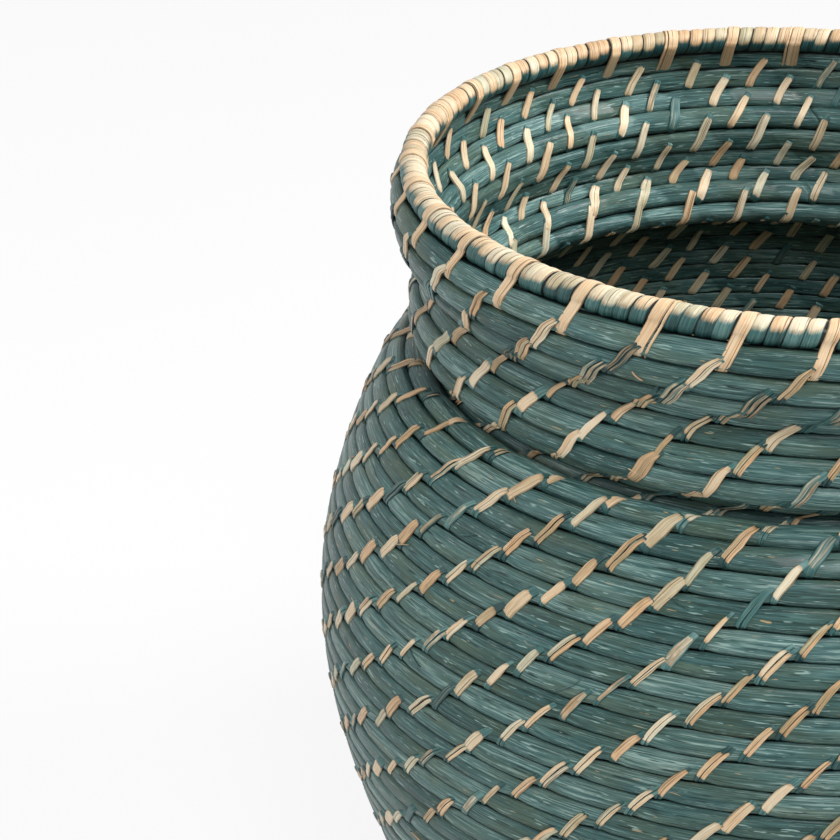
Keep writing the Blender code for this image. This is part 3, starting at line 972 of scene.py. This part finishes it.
def rim_wraps(material):
    """Wraps of flat cane round the rim, side by side between the wide splints, each wound on as a helix."""
    blank = strip_blank(np.linspace(0.0, 1.0, WRAP_STEPS + 1), WRAP_SECTION)
    count = SPLINT_COUNT * WRAPS_PER_SPLINT
    mesh, owner, share, across, raised = many(blank, count)
    splint_pitch = 2 * math.pi * RIM_RADIUS / SPLINT_COUNT
    pitch = (splint_pitch - SPLINT_WIDTH - WRAP_CLEARANCE) / WRAPS_PER_SPLINT
    number = np.arange(count)
    middle = number // WRAPS_PER_SPLINT * splint_pitch
    middle = middle + SPLINT_WIDTH / 2 + WRAP_CLEARANCE + (number % WRAPS_PER_SPLINT + 0.5) * pitch
    middle = middle + random_draw.normal(0.0, 0.05, count) * pitch
    half_width = 0.5 * pitch * between(0.93, 1.0, count)
    proud = between(0.0, 0.20, count) * MM

    angle = math.radians(WRAP_START) - 2 * math.pi * share
    past_top = (angle - math.radians(WRAP_TOP)) / (2 * math.pi)
    thick = WRAP_BED + proud[owner] + raised * WRAP_THICKNESS
    off = SPLINT_SLANT / 2 + past_top * WRAP_ADVANCE + across * half_width[owner]
    turned = math.radians(SPLINT_PHASE) + (middle[owner] + off) / RIM_RADIUS
    reach = RIM_RADIUS + thick * np.cos(angle)
    set_coordinates(mesh, round_axis(reach, turned, RIM_HEIGHT + thick * np.sin(angle)))
    set_uv(mesh, share * math.pi * RIM_THICKNESS, across * half_width[owner])

    # Painted shade: the far side of the rim is given a lower, darker tone.
    far_shade = FAR_SIDE_SHADE * np.clip(np.sin(turned), 0.0, 1.0)
    tone = between(0.25, 1.0, count)[owner] - far_shade
    start = between(0.20, 0.72, count)[owner]
    # The inner side is dyed only lower down; this dark lower inner face is partly real dye and partly painted
    # shade.
    start = np.where(np.cos(angle) > 0.0, start, start - WRAP_DYE_INSIDE)
    dye = np.clip(DYE_MIDDLE + (start - np.sin(angle)) * WRAP_DYE_EDGE, 0.0, 1.0)
    finish_cane(mesh, tone, across, dye, WRAP_SMOOTH)
    new_object("rim_wraps", mesh, material, ["rim_core"])


def splint_course(spot):
    """Where a wide splint runs, in its own plane: radii and heights from inside, over the rim, and down."""
    rise = climb(spot % FULL_TURN)
    over_tail = rise < TAIL_MIDDLE_SHARE
    depth = np.where(over_tail, 1.0 - rise / 2, 2.0 - rise)
    thickness = np.where(over_tail, tail_thickness(rise), section_thickness(2.0 - rise))
    radius, height = section_point(depth)
    half_depth = BUNDLE_HALF_DEPTH * (1.0 - PINCH_DEPTH) * thickness
    half_height = BUNDLE_HALF_HEIGHT * thickness
    level = np.zeros_like(radius)
    bed = WRAP_BED + SPLINT_BED_LIFT
    stations = [(radius, height, half_depth, half_height, degrees) for degrees in INNER_STATIONS]
    stations += [(level + RIM_RADIUS, level, bed, bed, degrees) for degrees in RIM_STATIONS]
    return stations + [(radius, height, half_depth, half_height, degrees) for degrees in OUTER_STATIONS]


def through(stations, share):
    """Places on a smooth curve through stations, at shares from 0 to 1 of its way."""
    last = len(stations) - 1
    along = share * last
    index = np.minimum(along.astype(int), last - 1)
    step = (along - index)[:, None]
    row = np.arange(len(share))
    before = stations[np.maximum(index - 1, 0), row]
    first = stations[index, row]
    second = stations[index + 1, row]
    after = stations[np.minimum(index + 2, last), row]
    return first + 0.5 * step * (
        second - before + step * (2 * before - 5 * first + 4 * second - after
                                  + step * (3 * first - before - 3 * second + after))
    )


def wide_splints(material):
    """The wide splints that bind the rim to the turn below it."""
    strips = []
    for number in range(SPLINT_COUNT):
        middle = SPLINT_PHASE + number * FULL_TURN / SPLINT_COUNT
        width = SPLINT_WIDTH * between(0.88, 1.05)
        lean = SPLINT_SLANT * between(0.85, 1.2)
        strips.append((middle, 0.0, width, lean))
        if random_draw.random() < NARROW_SHARE:
            narrow = between(0.8, 1.3) * MM
            strips.append((middle, (width + narrow) / 2 + NARROW_GAP, narrow, lean))
    blank = strip_blank(np.linspace(0.0, 1.0, SPLINT_STEPS + 1), SPLINT_SECTION)
    mesh, owner, share, across, raised = many(blank, len(strips))
    middle, beside, width, lean = np.array(strips).T[:, owner]
    width = width * np.interp(share, *SPLINT_WIDTH_SHARES)
    spot = middle + np.degrees((beside + width / 2 * across) / RIM_RADIUS)
    course = []
    for radius, height, half_depth, half_height, degrees in splint_course(spot - LEVEL_START):
        angle = math.radians(degrees)
        course.append(np.stack([
            radius + (half_depth + raised * SPLINT_THICKNESS) * math.cos(angle),
            height + (half_height + raised * SPLINT_THICKNESS) * math.sin(angle),
        ], axis=1))
    curve = through(np.array(course), share)
    fall = (curve[:, 1].max() - curve[:, 1]) / SPLINT_DROP
    fall = np.where(share > SPLINT_TOP_SHARE, fall, (share / SPLINT_TOP_SHARE - 1.0) / 2)
    turned = np.radians(spot + np.degrees(lean * (0.5 - fall) / RIM_RADIUS))
    set_coordinates(mesh, round_axis(curve[:, 0], turned, RIM_HEIGHT + curve[:, 1]))
    set_uv(mesh, share * SPLINT_LENGTH, across * width / 2)
    tone = between(0.555, 0.60, len(strips))[owner]
    dye = np.clip(SPLINT_DYE - (1.0 - share) / SPLINT_DYE_REACH, 0.0, SPLINT_DYE)
    finish_cane(mesh, tone, across, dye, SPLINT_SMOOTH)
    names = [f"rim_splint_{number + 1:02d}" for number in range(SPLINT_COUNT)]
    new_object("rim_splints", mesh, material, names)


def knot(material):
    """The knot that the first turn is wound round: a low dome of wound straw."""
    low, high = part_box("start_knot")
    radius = (high.x - low.x) / 2
    height = high.z - low.z
    shape = bmesh.new()
    bmesh.ops.create_uvsphere(shape, u_segments=KNOT_SIDES, v_segments=KNOT_RINGS, radius=1.0)
    for vert in shape.verts:
        angle = math.atan2(vert.co.y, vert.co.x)
        away = math.hypot(vert.co.x, vert.co.y)
        ripple = 1.0 + KNOT_LOBE_DEPTH * math.sin(KNOT_LOBES * angle + KNOT_TWIST * away)
        ridge = 1.0 + KNOT_RIDGE_DEPTH * math.cos(KNOT_RIDGES * away)
        vert.co.x *= radius * ripple
        vert.co.y *= radius * ripple
        vert.co.z = max(height / 2 + vert.co.z * height / 2 * ridge, STITCH_THICKNESS)
    mesh = into_mesh(shape, "knot")
    spots = coordinates(mesh)
    set_uv(mesh, spots[:, 0], spots[:, 1])
    for name, value in (("tone", KNOT_TONE), ("dye", KNOT_DYE), ("edge", 0.0)):
        set_attribute(mesh, name, np.full(len(spots), value))
    mesh.shade_smooth()
    new_object("knot_of_straw", mesh, material, ["start_knot"])


# Studio.

def floor():
    shape = bmesh.new()
    bmesh.ops.create_grid(shape, x_segments=1, y_segments=1, size=FLOOR_REACH)
    mesh = into_mesh(shape, "floor")
    nodes = Nodes("pale_floor")
    nodes.shader.inputs["Base Color"].default_value = FLOOR_COLOUR
    nodes.shader.inputs["Roughness"].default_value = 0.9
    path = nodes.add("ShaderNodeLightPath")
    seen = nodes.math("ADD", path.outputs["Is Camera Ray"], path.outputs["Is Glossy Ray"])
    seen = nodes.math("ADD", seen, path.outputs["Is Transmission Ray"], clamp=True)
    glow = nodes.add("ShaderNodeEmission")
    glow.inputs["Color"].default_value = WHITE
    mixed = nodes.add("ShaderNodeMixShader")
    nodes.join(nodes.math("MULTIPLY", seen, FLOOR_GLOW), mixed.inputs[0])
    nodes.join(nodes.shader.outputs[0], mixed.inputs[1])
    nodes.join(glow.outputs[0], mixed.inputs[2])
    nodes.join(mixed.outputs[0], nodes.output.inputs[0])
    mesh.materials.append(nodes.material)
    put_in_scene("floor", mesh)


def world(level):
    """White to the eye and in reflections, and this bright as a light on the basket."""
    sky = bpy.data.worlds.new("studio")
    bpy.context.scene.world = sky
    sky.use_nodes = True
    tree = sky.node_tree
    background = tree.nodes["Background"]
    background.inputs["Color"].default_value = WHITE
    path = tree.nodes.new("ShaderNodeLightPath")
    seen = path.outputs["Is Camera Ray"]
    for name in ("Is Glossy Ray", "Is Transmission Ray"):
        either = tree.nodes.new("ShaderNodeMath")
        either.operation = "MAXIMUM"
        tree.links.new(seen, either.inputs[0])
        tree.links.new(path.outputs[name], either.inputs[1])
        seen = either.outputs[0]
    strength = tree.nodes.new("ShaderNodeMapRange")
    strength.inputs["To Min"].default_value = level
    strength.inputs["To Max"].default_value = 1.0
    tree.links.new(seen, strength.inputs[0])
    tree.links.new(strength.outputs[0], background.inputs["Strength"])


def lamp(name, place, aim, size, power):
    light = bpy.data.lights.new(name, "AREA")
    light.size = size
    light.energy = power
    body = put_in_scene(name, light)
    body.location = place
    toward = np.array(aim) - np.array(place)
    yaw = math.atan2(toward[1], toward[0])
    pitch = math.atan2(math.hypot(toward[0], toward[1]), -toward[2])
    body.rotation_euler = (pitch, 0.0, yaw - math.pi / 2)


def camera():
    lens = bpy.data.cameras.new("camera")
    lens.sensor_width = SENSOR_WIDTH
    lens.lens = LENS
    body = put_in_scene("camera", lens)
    body.location = CAMERA_PLACE
    body.rotation_euler = (math.radians(CAMERA_TILT), 0.0, 0.0)
    bpy.context.scene.camera = body


camera()
floor()
world(SKY_LIGHT)
for lamp_settings in LAMPS:
    lamp(*lamp_settings)

straw = dyed_straw()
cane = split_cane("cane", soft=0.06, pale=0.0)
wrap_cane = split_cane("wrap_cane", soft=0.17, pale=0.04)

LENGTHS = [
    ("base", START_TURN, FLAT_TURN, "base_coil"),
    ("lower_foot", FLAT_TURN, 38, "foot_coil"),
    ("upper_foot", 38, 32, "foot_coil"),
    ("lower_belly", 32, 26, "belly_coil"),
    ("upper_belly", 26, 20, "belly_coil"),
    ("lower_shoulder", 20, 14, "shoulder_coil"),
    ("upper_shoulder", 14, 8, "shoulder_coil"),
    ("lower_collar", 8, 4, "lower_collar_coil"),
    ("upper_collar", 4, 0, "upper_collar_coil"),
]
for place, begin_turn, end_turn, node in LENGTHS:
    begin = (START_TURN - begin_turn) * FULL_TURN
    end = (START_TURN - end_turn) * FULL_TURN
    first = begin + SPLICE_ANGLE if begin > 0 else INNER_END
    last = min(end + SPLICE_ANGLE, TAIL_END - TAIL_TRIM)
    straw_bundle(f"{place}_bundle", first, last, straw, node, flat=begin_turn >= FLAT_TURN)
    stitched = LAID[(LAID > begin) & (LAID <= end)]
    lay_strips(f"{place}_outer_stitches", outer_strips(stitched), 1, cane)
    lay_strips(f"{place}_inner_stitches", inner_strips(stitched), -1, cane)
lay_strips("loose_fibres", loose_fibres(LAID[bundle_depth(LAID) < FLAT_TURN]), 1, cane)
rim_tube(straw)
rim_wraps(wrap_cane)
wide_splints(cane)
knot(cane)

bpy.context.scene.view_settings.view_transform = "Standard"
